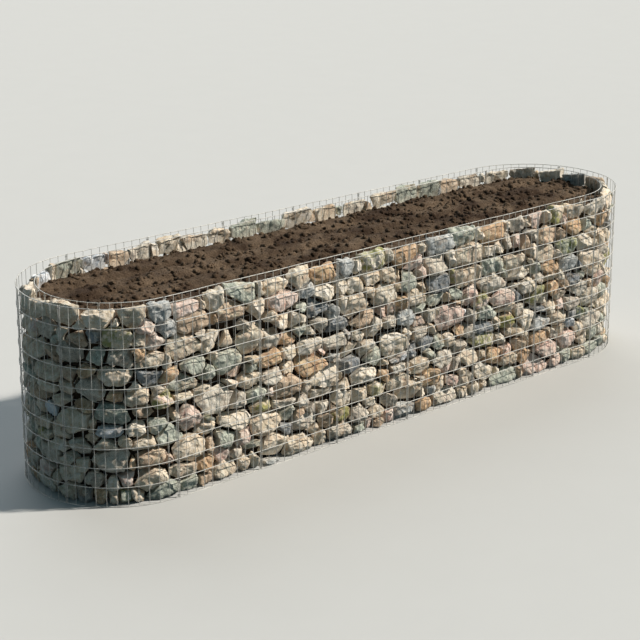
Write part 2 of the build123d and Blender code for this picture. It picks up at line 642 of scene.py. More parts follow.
def hairline_cracks(tree, coords):
    """White with dark cracks, which run through parts of the stones only."""
    bent = maths(tree, "MULTIPLY", noise(tree, coords, 12, detail=3, roughness=0.6), 0.12)
    values = {"Vector": add_vectors(tree, coords, bent), "Scale": 17.0}
    cells = add_node(tree, "TexVoronoi", values, feature="DISTANCE_TO_EDGE").outputs["Distance"]
    lines = ramp(tree, cells, ((0.0, 0.3), (0.025, 1.0)))
    whole = noise(tree, coords, 7, detail=2, roughness=0.5)
    return blend(tree, ramp(tree, whole, ((0.46, 1.0), (0.60, 0.0))), lines, (1.0, 1.0, 1.0))


def stone_material(stones):
    """Rubble of mixed limestone, sandstone, greenstone and quartz."""
    material, tree, surface = new_material("rubble_stone")
    kind = add_node(tree, "Attribute", attribute_name="stone_kind").outputs["Fac"]
    tone = add_node(tree, "Attribute", attribute_name="stone_tone").outputs["Fac"]
    # Every stone has its own part of the patterns
    shift = scale_vector(tree, vector(tree, kind, tone, kind), 37.0)
    coords = add_vectors(tree, object_place(tree), shift)
    # Each kind starts at its own place between 0 and 1
    kinds = (
        (0.00, stones.beige), (0.20, stones.cream), (0.34, stones.warm_grey), (0.48, stones.beige),
        (0.58, stones.green_grey), (0.68, stones.pink), (0.76, stones.brown), (0.85, stones.tan),
        (0.905, stones.slate), (0.94, stones.blue_grey), (0.987, stones.quartz),
    )
    base = ramp(tree, kind, kinds, "CONSTANT")
    base = blend(tree, 1.0, base, ramp(tree, tone, ((0, 0.78), (1, 1.0))), "MULTIPLY")
    # Beds and mottling
    beds = bedding(tree, coords, kind, tone)
    base = overlay(tree, 0.6, base, beds, ((0.32, 0.28), (0.5, 0.52), (0.68, 0.74)))
    patches = noise(tree, coords, 24, detail=6, roughness=0.65, distortion=0.3)
    base = overlay(tree, 0.8, base, patches, ((0.3, 0.28), (0.5, 0.52), (0.7, 0.74)))
    # Iron stains, pale crust and cracks
    stains = ramp(tree, noise(tree, coords, 9, roughness=0.6), ((0.57, 0.0), (0.68, 0.6)))
    base = blend(tree, stains, base, tuple(0.7 * value for value in stones.tan))
    crust = noise(tree, coords, 34, detail=6, roughness=0.7)
    base = blend(tree, ramp(tree, crust, ((0.54, 0.0), (0.66, 0.6))), base, stones.cream)
    cracks = hairline_cracks(tree, coords)
    base = blend(tree, 0.6, base, cracks, "MULTIPLY")
    grain = noise(tree, coords, 210, roughness=0.65)
    base = overlay(tree, 0.7, base, grain, ((0.32, 0.2), (0.5, 0.5), (0.68, 0.8)))
    # Moss on a few stones
    patchy = noise(tree, coords, 16, detail=5, roughness=0.7)
    mossy = maths(
        tree, "MULTIPLY", ramp(tree, tone, ((0.955, 0.0), (0.965, 1.0))),
        ramp(tree, patchy, ((0.44, 0.0), (0.56, 0.85))),
    )
    base = blend(tree, mossy, base, stones.moss)
    # Painted highlight: broken rims, found by their pointiness, are made paler, as if they caught
    # the light
    rims = add_node(tree, "NewGeometry").outputs["Pointiness"]
    base = blend(tree, ramp(tree, rims, ((0.51, 0.0), (0.60, 0.4))), base, stones.cream)
    tree.links.new(base, surface.inputs["Base Color"])
    dullness = ramp(tree, patches, ((0.2, 0.95), (0.8, 0.74)))
    tree.links.new(dullness, surface.inputs["Roughness"])
    surface.inputs["Specular IOR Level"].default_value = 0.12
    hollows = noise(tree, coords, 42, detail=8, roughness=0.65)
    relief = bump(tree, hollows, distance=0.0055, strength=0.8)
    relief = bump(tree, beds, distance=0.004, strength=0.7, under=relief)
    relief = bump(tree, cracks, distance=0.003, strength=0.6, under=relief)
    relief = bump(tree, grain, distance=0.0010, strength=0.7, under=relief)
    tree.links.new(relief, surface.inputs["Normal"])
    return material


def steel_material(name, clean, dull):
    """Coated wire, dull and a little blotchy."""
    material, tree, surface = new_material(name)
    coords = object_place(tree)
    blotches = noise(tree, coords, 140, roughness=0.6)
    runs = noise(tree, coords, 17, detail=3, roughness=0.5)
    worn = ramp(tree, maths(tree, "MULTIPLY", blotches, runs), ((0.18, 0.0), (0.34, 1.0)))
    tree.links.new(blend(tree, worn, clean, dull), surface.inputs["Base Color"])
    dullness = ramp(tree, blotches, ((0.3, 0.50), (0.7, 0.68)))
    tree.links.new(dullness, surface.inputs["Roughness"])
    surface.inputs["Metallic"].default_value = 0.2
    relief = bump(tree, blotches, distance=0.0003, strength=0.5)
    tree.links.new(relief, surface.inputs["Normal"])
    return material


def soil_material(soil):
    """Crumbly planting soil, darker where it is moist."""
    material, tree, surface = new_material("planting_soil")
    coords = object_place(tree)
    damp = noise(tree, coords, 5, detail=6, roughness=0.65)
    base = blend(tree, ramp(tree, damp, ((0.38, 0.0), (0.62, 1.0))), soil.moist, soil.dry)
    crumbs = noise(tree, coords, 90, detail=8, roughness=0.7)
    base = overlay(tree, 0.9, base, crumbs, ((0.3, 0.22), (0.5, 0.5), (0.72, 0.72)))
    flecks = noise(tree, coords, 320, detail=2, roughness=0.5)
    pale = tuple(min(1.0, 2.1 * value) for value in soil.dry)
    base = blend(tree, ramp(tree, flecks, ((0.68, 0.0), (0.74, 0.5))), base, pale)
    tree.links.new(base, surface.inputs["Base Color"])
    surface.inputs["Roughness"].default_value = 0.95
    surface.inputs["Specular IOR Level"].default_value = 0.08
    lumps = noise(tree, coords, 60, detail=6, roughness=0.7)
    relief = bump(tree, lumps, distance=0.012, strength=1.0)
    relief = bump(tree, crumbs, distance=0.005, strength=0.9, under=relief)
    tree.links.new(relief, surface.inputs["Normal"])
    return material


def floor_material(stage):
    """Plain pale floor, whose glow on the bed is weaker than it looks."""
    material, tree, surface = new_material("pale_floor")
    mottle = ramp(tree, noise(tree, object_place(tree), 3, roughness=0.6), ((0.3, 0.0), (0.7, 1.0)))
    pale = blend(tree, mottle, stage.floor, tuple(0.985 * value for value in stage.floor))
    glow = tuple(share * value for share, value in zip(FLOOR_GLOW, stage.floor))
    base = blend(tree, direct_rays(tree), glow, pale)
    tree.links.new(base, surface.inputs["Base Color"])
    surface.inputs["Roughness"].default_value = 0.9
    surface.inputs["Specular IOR Level"].default_value = 0.2
    return material


# Stones


class StonePacking:
    """Seeds of all the stones round the wall, and the planes that part each from its neighbours."""

    thickness = 0.076      # rough depth of a stone
    stretch = 0.8          # a distance along the wall counts this much of one up it
    weight_share = 0.55    # how much room long stones take from short ones
    neighbours = 16        # nearest stones that a stone is parted from
    spots = 5000           # places that are tried for fragments
    spacing = 0.13         # least distance between two fragments
    block = (0.30, 0.25)   # length and height of the block that a stone is cut from
    face_depth = 0.010     # depth at which the face of a stone starts
    back_room = 0.003      # room kept behind a stone
    least_edge = 0.004     # shorter edges are merged away

    def __init__(self, stones):
        self.gap = stones.gap
        self.draw = np.random.default_rng(stones.seed)
        along, height, half_length, half_height = self.lay_courses(stones)
        self.weight = self.weight_share * (self.stretch * half_length) ** 2
        self.place_seeds(along, height, half_length, half_height)
        self.add_fragments(stones.fragments)
        self.kind = self.draw.random(len(self.along))
        self.tone = self.draw.random(len(self.along))

    def lay_courses(self, stones):
        """Stones laid in rough courses that wander up and down, with long ones at the rim."""
        draw = self.draw
        courses = round(RIM / stones.course_height)
        heights = draw.uniform(0.75, 1.25, courses)
        heights[-1] = 1.25
        heights *= RIM / heights.sum()
        rows = []
        for course, (top, height) in enumerate(zip(np.cumsum(heights), heights)):
            at_rim = course == courses - 1
            shares = draw.uniform(0, 1, round(LOOP / stones.stone_length / (1.5 if at_rim else 1)))
            lengths = 0.6 + 0.8 * shares if at_rim else 0.45 + 1.6 * shares**2
            lengths *= LOOP / lengths.sum()
            middle = np.cumsum(lengths) - lengths / 2 + draw.uniform(0, LOOP)
            wander = 0.16 * height * np.sin(2 * math.pi * middle / draw.uniform(0.6, 1.3))
            lift = 0 if course == 0 or at_rim else 1
            z = top - height / 2 + lift * (wander + draw.normal(0, 0.2 * height, len(middle)))
            rows.append((middle % LOOP, z, lengths / 2, np.full(len(middle), height / 2)))
        return [np.concatenate(column) for column in zip(*rows)]

    def place_seeds(self, along, height, half_length, half_height):
        """Puts the seeds in space, a little in front of or behind the middle of the wall."""
        depth = (WIRE * 2 + FILL_BACK) / 2 + self.draw.uniform(-0.012, 0.012, len(along))
        x, y, heading = wall_place(along, depth)
        level = 0 * heading
        self.along, self.half_length, self.half_height = along, half_length, half_height
        self.at = np.column_stack((x, y, height))
        self.out = np.column_stack((np.cos(heading), np.sin(heading), level))
        self.tangent = np.column_stack((-np.sin(heading), np.cos(heading), level))
        self.heading = heading

    def add_fragments(self, count):
        """Small stones where the seeds lie furthest apart."""
        along = self.draw.uniform(0, LOOP, self.spots)
        height = self.draw.uniform(0.04, RIM - 0.05, self.spots)
        x, y, _ = wall_place(along, FACE * 0.1)
        spots = np.column_stack((x, y, height))
        clear = np.array([np.linalg.norm(self.at - spot, axis=1).min() for spot in spots])
        taken = []
        for spot in np.argsort(-clear):
            if all(np.linalg.norm(spots[spot] - spots[other]) > self.spacing for other in taken):
                taken.append(spot)
            if len(taken) == count:
                break
        size = self.draw.uniform(0.02, 0.032, len(taken))
        self.weight = np.concatenate((self.weight, size**2 * 0.3))
        self.place_seeds(
            np.concatenate((self.along, along[taken])),
            np.concatenate((self.at[:, 2], height[taken])),
            np.concatenate((self.half_length, size)),
            np.concatenate((self.half_height, size)),
        )

    def neighbour_cuts(self, stone):
        """Planes halfway to the nearest stones, each a little tilted."""
        apart = self.at - self.at[stone]
        tangent = self.tangent + self.tangent[stone]
        tangent /= np.maximum(np.linalg.norm(tangent, axis=1), 1e-6)[:, None]
        run = np.einsum("ij,ij->i", apart, tangent)
        normals = apart - (1 - self.stretch**2) * run[:, None] * tangent
        reach = np.einsum("ij,ij->i", apart, normals)
        tightness = 0.5 if self.at[stone, 2] > RIM - EDGE_ZONE else 1
        cuts = []
        for other in np.argsort(reach)[1:self.neighbours + 1]:
            share = 0.5 + (self.weight[stone] - self.weight[other]) / (2 * reach[other])
            normal = normals[other] / np.linalg.norm(normals[other])
            gap = self.gap * self.draw.uniform(0.4, 2.0) * tightness
            point = self.at[stone] + share * apart[other] - gap * normal
            tilted = normal + self.draw.normal(0, 0.06, 3)
            cuts.append((point, tilted / np.linalg.norm(tilted)))
        return cuts

    def face_cuts(self, stone):
        """The face behind the wire, the back, and the top or underside of the end courses."""
        out, tangent = self.out[stone], self.tangent[stone]
        length, height = self.half_length[stone], self.half_height[stone]
        steadiness = np.minimum(1, 0.05 / np.array((length, height)))
        faces = ((1, self.face_depth, 0.27, 0.42), (-1, FILL_BACK - self.back_room, 0.12, 0.25))
        cuts = []
        for way, edge, slant, share in faces:
            lean, tip = self.draw.normal(0, slant, 2) * steadiness
            normal = way * out + lean * tangent + np.array((0, 0, tip))
            half = abs(lean) * length + abs(tip) * height
            inset = share * (half + self.draw.uniform(0, 1) ** 1.5 * 0.05)
            x, y, _ = wall_place(self.along[stone], edge + way * inset)
            cuts.append((np.array((x, y, self.at[stone, 2])), normal / np.linalg.norm(normal)))
        if self.at[stone, 2] > RIM - EDGE_ZONE:
            top = np.array((*self.draw.normal(0, 0.12, 2), 1))
            height = RIM - self.draw.uniform(-0.004, 0.040)
            cuts.append((np.array((*self.at[stone, :2], height)), top / np.linalg.norm(top)))
        if self.at[stone, 2] < EDGE_ZONE:
            cuts.append((np.array((*self.at[stone, :2], 0.003)), np.array((0, 0, -1.0))))
        return cuts

    def break_cuts(self, stone):
        """Broken rims all round the face, and a few broken corners."""
        half = np.array((self.half_length[stone], self.thickness / 2, self.half_height[stone]))
        ways = []
        for across, up in ((1, 0), (-1, 0), (0, 1), (0, -1)):
            slope = math.radians(self.draw.uniform(22, 62))
            skew = self.draw.normal(0, 0.3)
            level = math.cos(slope)
            turned = level * (across + skew * up), math.sin(slope), level * (up + skew * across)
            ways.append((*turned, self.draw.uniform(-0.30, 0.40)))
        for _ in range(self.draw.integers(2, 6)):
            across, outward, up = self.draw.normal(0, 1, 3)
            ways.append((across, abs(outward) - 0.1, 1.2 * up, self.draw.uniform(-0.1, 0.6)))
        cuts = []
        for across, outward, up, share in ways:
            way = np.array((across, outward, up)) / math.hypot(across, outward, up)
            box = np.abs(half * way).sum()
            egg = np.linalg.norm(half * way)
            normal = way[0] * self.tangent[stone] + way[1] * self.out[stone]
            normal += np.array((0, 0, way[2]))
            cuts.append((self.at[stone] + (egg + share * (box - egg)) * normal, normal))
        return cuts

    def carve(self, stone):
        """Adds a block in edit mode and cuts it down to one stone."""
        size = np.array((self.block[0], self.thickness + 0.02, self.block[1]))
        heading = self.heading[stone] + math.pi / 2
        bpy.ops.mesh.primitive_cube_add(
            size=1, calc_uvs=False, location=self.at[stone], rotation=(0, 0, heading), scale=size
        )
        axes = np.array((self.tangent[stone], -self.out[stone], (0, 0, 1)))
        signs = np.array([(a, b, c) for a in (-1, 1) for b in (-1, 1) for c in (-1, 1)])
        corners = self.at[stone] + (signs * size / 2) @ axes
        cuts = self.face_cuts(stone) + self.neighbour_cuts(stone) + self.break_cuts(stone)
        for point, normal in cuts:
            if ((corners - point) @ normal).max() > 0:
                bpy.ops.mesh.select_all(action="SELECT")
                bpy.ops.mesh.bisect(
                    plane_co=point, plane_no=normal, use_fill=True, clear_outer=True
                )
        bpy.ops.mesh.select_all(action="SELECT")
        bpy.ops.mesh.remove_doubles(threshold=self.least_edge)
        bpy.ops.mesh.hide(unselected=False)

    def owners(self, points, numbers):
        """Which of the numbered stones each middle of a loose part belongs to."""
        apart = points[:, None] - self.at[numbers][None]
        run = np.einsum("ijk,jk->ij", apart, self.tangent[numbers])
        reach = (apart**2).sum(2) - (1 - self.stretch**2) * run**2 - self.weight[numbers]
        return np.array(numbers)[reach.argmin(1)]


def stone_stretches():
    """Each stone fill with where it starts and ends along the wall."""
    stretches = []
    for number in range(1, FILLS_PER_SIDE + 1):
        stretches += side_pieces("stone_fill", number, FILLS_PER_SIDE)
    turn = 180 / FILLS_PER_END
    for number in range(1, FILLS_PER_END + 1):
        stretches += end_pieces("stone_fill", number, (number - 1) * turn, number * turn)
    return stretches


def carve_batch(packing, name, numbers):
    """A few stones as one mesh, with the kind and tone of each kept on its points."""
    piece = open_mesh(name)
    for stone in numbers:
        packing.carve(stone)
    close_mesh()
    points = read_points(piece)
    parts, whose = np.unique(loose_parts(piece), return_inverse=True)
    middles = np.array([points[whose == part].mean(0) for part in range(len(parts))])
    owner = packing.owners(middles, numbers)[whose]
    count = np.arange(len(packing.along), dtype=float)
    kept = (("stone_kind", packing.kind), ("stone_tone", packing.tone), ("stone_number", count))
    for key, values in kept:
        attribute = piece.data.attributes.new(key, "FLOAT", "POINT")
        attribute.data.foreach_set("value", values[owner])
    return piece


def divide_faces(piece):
    """Divides the long edges that show, in front, on top and over the soil."""
    bpy.context.tool_settings.mesh_select_mode = (False, True, False)
    for _ in range(3):
        points, normals = read_points(piece), read_normals(piece)
        facing = (normals * outward_of(points)).sum(1)
        shows = (facing > 0.1) & (wall_depth(points) < SHOWING_DEPTH)
        above = points[:, 2] > SOIL_HIGH.z - 0.02
        shows |= above & (np.abs(facing) + normals[:, 2] > 0.4)
        ends = read_edges(piece)
        length = np.linalg.norm(points[ends[:, 0]] - points[ends[:, 1]], axis=1)
        piece.data.vertices.foreach_set("select", np.zeros(len(points), bool))
        piece.data.polygons.foreach_set("select", np.zeros(len(piece.data.polygons), bool))
        piece.data.edges.foreach_set("select", shows[ends].all(1) & (length > FACET))
        bpy.ops.object.mode_set(mode="EDIT")
        bpy.ops.mesh.subdivide(number_cuts=1, smoothness=0.5)
        bpy.ops.object.mode_set(mode="OBJECT")
    bpy.context.tool_settings.mesh_select_mode = (True, False, False)


def bulge_stones(piece, packing):
    """Draws the face of each stone back towards its rim, so that it bulges."""
    points = read_points(piece)
    number = np.empty(len(points))
    piece.data.attributes["stone_number"].data.foreach_get("value", number)
    number = np.round(number).astype(int)
    along = (along_of(points) - packing.along[number] + LOOP / 2) % LOOP - LOOP / 2
    share = np.zeros(len(points))
    shortest = np.full(len(packing.along), 1.0)
    for values in (along, points[:, 2]):
        low = np.full(len(packing.along), 9.0)
        high = np.full(len(packing.along), -9.0)
        np.minimum.at(low, number, values)
        np.maximum.at(high, number, values)
        half = np.maximum(high - low, 0.01) / 2
        share += np.abs((values - (low + half)[number]) / half[number]) ** 3
        shortest = np.minimum(shortest, half)
    depth = wall_depth(points)
    near_face = np.clip(1.2 - depth / 0.06, 0, 1)
    write_points(piece, push_to_depth(points, depth + BULGE * shortest[number] * share * near_face))


def keep_behind_wire(piece):
    """Presses the stones in behind the outer mesh, in front of the inner one and off the rods."""
    points = read_points(piece)
    along = along_of(points)
    least = np.full(len(points), LEAST_DEPTH)
    for joint in outer_joint_places():
        least[np.abs(along - joint) < JOINT_REACH] = JOINT_DEPTH
    most = np.full(len(points), FILL_BACK - INNER_ROOM)
    for joint in inner_joint_places():
        most[np.abs(along - joint) < INNER_JOINT_REACH] = FILL_BACK - INNER_JOINT_ROOM
    points = push_to_depth(points, np.clip(wall_depth(points), least, most))
    points[:, 2] = np.clip(points[:, 2], LEAST_HEIGHT, RIM + RIM_RISE)
    write_points(piece, points)


def roughen_stones(piece, packing):
    """Rounds the rims a little, and gives the faces lumps, chips and grit."""
    select_only(piece)
    bpy.ops.object.mode_set(mode="EDIT")
    bpy.ops.mesh.select_all(action="SELECT")
    bpy.ops.transform.edge_crease(value=0.6)
    bpy.ops.object.mode_set(mode="OBJECT")
    apply_modifier(piece, "SUBSURF", levels=1, render_levels=1)
    divide_faces(piece)
    bulge_stones(piece, packing)
    layers = (
        ("stone_lumps", 0.070, 0.022, "HARD_NOISE"),
        ("stone_chips", 0.030, 0.007, "HARD_NOISE"),
        ("stone_grit", 0.014, 0.0022, "SOFT_NOISE"),
    )
    for name, size, strength, kind in layers:
        apply_modifier(
            piece, "DISPLACE", texture=cloud_texture(name, size, 2, kind), strength=strength,
            mid_level=0.4, texture_coords="LOCAL",
        )
    keep_behind_wire(piece)


class GABION_OT_stones(bpy.types.Operator):
    """Cut the stones of each fill from blocks, so that each fits its neighbours"""

    bl_idname = "gabion.stones"
    bl_label = "Stones"

    batch = 18

    def execute(self, context):
        stones = context.scene.gabion_stones
        packing = StonePacking(stones)
        material = stone_material(stones)
        for node, start, end in stone_stretches():
            numbers = np.flatnonzero((packing.along >= start) & (packing.along < end))
            if not len(numbers):
                raise RuntimeError(f"no stone falls in {node}")
            name = node.replace("fill", "rubble")
            numbers = list(numbers[np.argsort(packing.at[numbers, 2])])
            starts = range(0, len(numbers), self.batch)
            groups = [numbers[place:place + self.batch] for place in starts]
            piece = join([carve_batch(packing, name, group) for group in groups])
            roughen_stones(piece, packing)
            shade(piece, 38)
            hand_over(piece, node, material)
        return {"FINISHED"}


# Wire mesh


def add_wire(start, step, pieces, radius, turn):
    """A round wire of straight pieces; turn lays the first ring across it."""
    bpy.ops.mesh.primitive_circle_add(
        vertices=8, radius=radius, fill_type="NGON", location=start, rotation=turn, calc_uvs=False
    )
    for _ in range(pieces):
        bpy.ops.mesh.extrude_region_move(TRANSFORM_OT_translate={"value": step})


def repeat(steps):
    """Copies what is selected again and again, each copy a step from the last."""
    for step in steps:
        bpy.ops.mesh.duplicate_move(TRANSFORM_OT_translate={"value": step})


def row_heights():
    """Heights of the rows of wire."""
    return np.linspace(WIRE / 2, RIM - WIRE / 2, ROW_SPACES + 1)


def weld_panel(name, start, end, inset, spaces, row_depth, upright_depth):
    """A flat panel: rows, and uprights welded to them, with x along the wall and y into it."""
    piece = open_mesh(name)
    heights = row_heights()
    first, last = start + inset, end - inset
    radius = WIRE / 2
    row_step = ((last - first) / spaces, 0, 0)
    add_wire((first, row_depth, heights[0]), row_step, spaces, radius, (0, math.pi / 2, 0))
    bpy.ops.mesh.select_all(action="SELECT")
    repeat([(0, 0, heights[1] - heights[0])] * ROW_SPACES)
    hide_finished()
    places = [first + radius, *np.linspace(start, end, spaces + 1)[1:-1], last - radius]
    foot, upright_step = (places[0], upright_depth, 0), (0, 0, RIM / ROW_SPACES)
    add_wire(foot, upright_step, ROW_SPACES, UPRIGHT_SHARE * radius, (0, 0, 0))
    for height in heights:
        bpy.ops.mesh.primitive_ico_sphere_add(
            subdivisions=1, radius=WELD_SHARE * WIRE, calc_uvs=False, scale=(1, 0.8, 1),
            location=(places[0], (row_depth + upright_depth) / 2, height),
        )
    bpy.ops.mesh.select_all(action="SELECT")
    repeat([(step, 0, 0) for step in np.diff(places)])
    close_mesh()
    return piece


def lay_on_wall(piece, start, span, bow, draw):
    """Bends a flat panel round the wall; between joints its wires give way a little."""
    along, depth, height = read_points(piece).T
    slack = np.sin(math.pi * (along - start) / span) ** 2
    phases = draw.uniform(0, 2 * math.pi, 4)
    waves = np.sin(9 * along + phases[0]) * np.sin(5 * height + phases[1])
    inward = bow * slack * (0.5 + 0.5 * waves)
    sag = 1.4 * bow * slack * np.sin(11 * along + phases[2]) * np.sin(8 * height + phases[3])
    x, y, _ = wall_place(along, depth + inward)
    write_points(piece, np.column_stack((x, y, np.clip(height + sag, WIRE / 4, RIM))))


def outer_panels(upright_spacing):
    """Node, start, end and upright spaces of each outer panel."""
    spaces = round(BAY / upright_spacing)
    panels = []
    for number in range(1, BAYS + 1):
        panels += [(*panel, spaces) for panel in side_pieces("mesh_panel", number, BAYS)]
    for number, cells in enumerate(OUTER_END_SPACES, 1):
        low, high = OUTER_JOINTS[number - 1:number + 1]
        panels += [(*panel, cells) for panel in end_pieces("mesh_panel", number, low, high)]
    return panels


def inner_panels(upright_spacing):
    """Node, start, end and upright spaces of each inner panel."""
    spaces = round(STRAIGHT / upright_spacing)
    panels = [
        ("front_inner_mesh", 0, STRAIGHT, spaces),
        ("back_inner_mesh", HALF_LOOP, HALF_LOOP + STRAIGHT, spaces),
    ]
    for number, (low, high) in enumerate(zip(INNER_JOINTS, INNER_JOINTS[1:]), 1):
        ends = end_pieces("inner_mesh", number, low, high)
        panels += [(*panel, INNER_END_SPACES) for panel in ends]
    return panels


class GABION_OT_mesh_panels(bpy.types.Operator):
    """Weld the outer and inner panels of wire mesh and bend them round the wall"""

    bl_idname = "gabion.mesh_panels"
    bl_label = "Mesh panels"

    def execute(self, context):
        wires = context.scene.gabion_wires
        material = steel_material("galvanised_wire", wires.zinc, wires.oxide)
        draw = np.random.default_rng(WIRE_SEED)
        spacing = wires.upright_spacing
        row, upright = ROW_DEPTH_SHARE * WIRE, UPRIGHT_DEPTH_SHARE * WIRE
        layers = (
            (outer_panels(spacing), OUTER_INSET, row, upright),
            (inner_panels(spacing), INNER_INSET, INNER_FACE - row, INNER_FACE - upright),
        )
        for panels, inset, row_depth, upright_depth in layers:
            for node, start, end, spaces in panels:
                name = node.replace("mesh", "wires")
                piece = weld_panel(name, start, end, inset, spaces, row_depth, upright_depth)
                lay_on_wall(piece, start, min(BAY, end - start), wires.bow, draw)
                shade(piece, 50)
                hand_over(piece, node, material)
        return {"FINISHED"}


# Locking rods


def add_line(curve, places, share=1.0, closed=False):
    """A wire through the places; its share is its thickness against the rod's."""
    line = curve.splines.new("POLY")
    line.points.add(len(places) - 1)
    line.use_cyclic_u = closed
    for point, place in zip(line.points, places):
        point.co = (*place, 1)
        point.radius = share


def tied_rod(ring_wire):
    """A straight rod as high as the mesh, with a ring round both edge uprights at each row."""
    rod_wire = ROD_SHARE * WIRE
    curve = bpy.data.curves.new("locking_rod", "CURVE")
    curve.dimensions = "3D"
    curve.bevel_depth = rod_wire / 2
    curve.bevel_resolution = 2
    curve.use_fill_caps = True
    heights = row_heights()
    levels = np.linspace(WIRE / 2, RIM - 0.001, len(heights))
    add_line(curve, [(0, 0, level) for level in levels])
    half_width = OUTER_INSET + WIRE + ring_wire / 2
    angles = np.linspace(0, 2 * math.pi, RING_CORNERS, endpoint=False)
    for number, height in enumerate(heights):
        middle = height + (RING_TO_ROW if number == 0 else -RING_TO_ROW)
        ring = np.column_stack((
            half_width * np.cos(angles), RING_HALF_DEPTH * np.sin(angles),
            middle + RING_LEAN * np.cos(angles + number),
        ))
        add_line(curve, ring, ring_wire / rod_wire, closed=True)
    piece = bpy.data.objects.new("locking_rod", curve)
    bpy.context.scene.collection.objects.link(piece)
    select_only(piece)
    bpy.ops.object.convert(target="MESH")
    return bpy.context.object


def rod_places():
    """Each node of rods with their places: along the wall, depth and turn."""
    outer_depth, inner_depth = ROD_DEPTH_SHARE * WIRE, INNER_FACE - ROD_DEPTH_SHARE * WIRE
    groups = {}
    for near, side, end in ((False, "front", "far_end"), (True, "back", "near_end")):
        start = HALF_LOOP if near else 0
        joints = [start + number * BAY for number in range(1, BAYS)]
        groups[f"{side}_binders"] = [(joint, outer_depth, 0) for joint in joints]
        outer = [(end_place(angle, near), outer_depth, 0) for angle in OUTER_JOINTS]
        inner = [(end_place(angle, near), inner_depth, math.pi) for angle in INNER_JOINTS]
        groups[f"{end}_binders"] = outer + inner
    return groups


class GABION_OT_binders(bpy.types.Operator):
    """Slide a locking rod down each joint and tie it to the panels with rings"""

    bl_idname = "gabion.binders"
    bl_label = "Binders"

    def execute(self, context):
        wires = context.scene.gabion_wires
        material = steel_material("locking_rod_steel", wires.rod_steel, wires.oxide)
        rod = tied_rod(wires.ring_wire)
        for node, places in rod_places().items():
            copies = []
            for along, depth, turn in places:
                x, y, heading = (float(value) for value in wall_place(along, depth))
                turned = Matrix.Rotation(heading + math.pi / 2 + turn, 4, "Z")
                copy = rod.copy()
                copy.data = rod.data.copy()
                copy.data.transform(Matrix.Translation((x, y, 0)) @ turned)
                context.scene.collection.objects.link(copy)
                copies.append(copy)
            piece = join(copies)
            piece.name = piece.data.name = node.replace("binders", "locking_rods")
            shade(piece, 60)
            hand_over(piece, node, material)
        bpy.data.objects.remove(rod)
        return {"FINISHED"}


# Soil


def fill_of_soil(soil):
    """The body of soil: a finely meshed crust, uneven on top, on a plain body."""
    radius = min(SOIL_HIGH.y, SOIL_HIGH.x - HALF_LENGTH) - SOIL_ROOM
    bottom, crust, top = SOIL_LOW.z + SOIL_ROOM, SOIL_HIGH.z - CRUST, SOIL_HIGH.z
    piece = open_mesh("bed_soil")
    bpy.ops.mesh.primitive_circle_add(
        vertices=64, radius=radius, fill_type="NGON", location=(0, 0, crust), calc_uvs=False
    )
    bpy.ops.mesh.extrude_region_move(TRANSFORM_OT_translate={"value": (0, 0, top - crust)})
    bpy.ops.object.mode_set(mode="OBJECT")
    points = read_points(piece)
    points[:, 0] += np.sign(np.round(points[:, 0], 4)) * HALF_LENGTH
    write_points(piece, points)
    bpy.ops.object.mode_set(mode="EDIT")
    close_mesh()
    apply_modifier(piece, "REMESH", mode="VOXEL", voxel_size=SOIL_MESH)
    extrude_underside(piece, (crust + top) / 2, bottom)
    group = piece.vertex_groups.new(name="top")
    points = read_points(piece)
    surface = points[:, 2] > top - 0.01
    group.add([int(number) for number in np.flatnonzero(surface)], 1.0, "REPLACE")
    points[:, 2] -= surface * furrow_depth(points[:, 1])
    write_points(piece, points)
    layers = (("soil_humps", 0.28, 0.6), ("soil_lumps", 0.06, 0.7), ("soil_crumbs", 0.022, 0.4))
    for name, size, share in layers:
        apply_modifier(
            piece, "DISPLACE", texture=cloud_texture(name, size, 3), mid_level=0.5,
            strength=share * soil.unevenness, direction="Z", vertex_group="top",
            texture_coords="LOCAL",
        )
    piece.vertex_groups.clear()
    return piece


def furrow_depth(across):
    """How far the raked soil lies below its ridges, by the distance across the bed."""
    row = 2 * SOIL_HIGH.y / SOIL_ROWS
    place = (across + SOIL_HIGH.y) % row
    to_furrow = np.minimum(place, row - place) / FURROW_HALF_WIDTH
    return FURROW * (0.5 + 0.5 * np.cos(math.pi * np.minimum(to_furrow, 1)))


def extrude_underside(piece, level, bottom):
    """Opens the underside of a slab, draws its rim down to the bottom and closes it there."""
    points = read_points(piece)
    piece.data.vertices.foreach_set("select", points[:, 2] < level)
    bpy.ops.object.mode_set(mode="EDIT")
    bpy.ops.mesh.delete(type="VERT")
    bpy.ops.mesh.select_all(action="DESELECT")
    bpy.ops.mesh.select_non_manifold(
        extend=False, use_multi_face=False, use_non_contiguous=False, use_verts=False
    )
    rim = points[points[:, 2] >= level][:, 2].min()
    bpy.ops.mesh.extrude_region_move(TRANSFORM_OT_translate={"value": (0, 0, bottom - rim)})
    bpy.ops.mesh.edge_face_add()
    close_mesh()


def scatter_clods(soil, ground):
    """Loose lumps half sunk in the surface."""
    draw = np.random.default_rng(CLOD_SEED)
    tops = read_points(ground)
    tops = tops[tops[:, 2] > SOIL_HIGH.z - 2 * soil.unevenness]
    batch = 65
    batches = []
    for _ in range(soil.clods // batch):
        batches.append(open_mesh("clods"))
        for _ in range(batch):
            x, y, z = tops[draw.integers(len(tops))]
            size = soil.clod_size * draw.uniform(0.4, 1) ** 2.6
            bpy.ops.mesh.primitive_ico_sphere_add(
                subdivisions=1, radius=size, calc_uvs=False,
                location=(x + draw.uniform(-0.012, 0.012), y + draw.uniform(-0.012, 0.012), z),
                rotation=draw.uniform(0, 6, 3), scale=draw.uniform(0.7, 1.2, 3),
            )
        close_mesh()
    piece = join(batches)
    points = read_points(piece)
    _, reach = past_straight(points)
    shrink = np.minimum(1, (SOIL_HIGH.y - 2 * SOIL_ROOM) / np.maximum(reach, 1e-6))
    write_points(piece, scale_reach(points, shrink))
    return piece


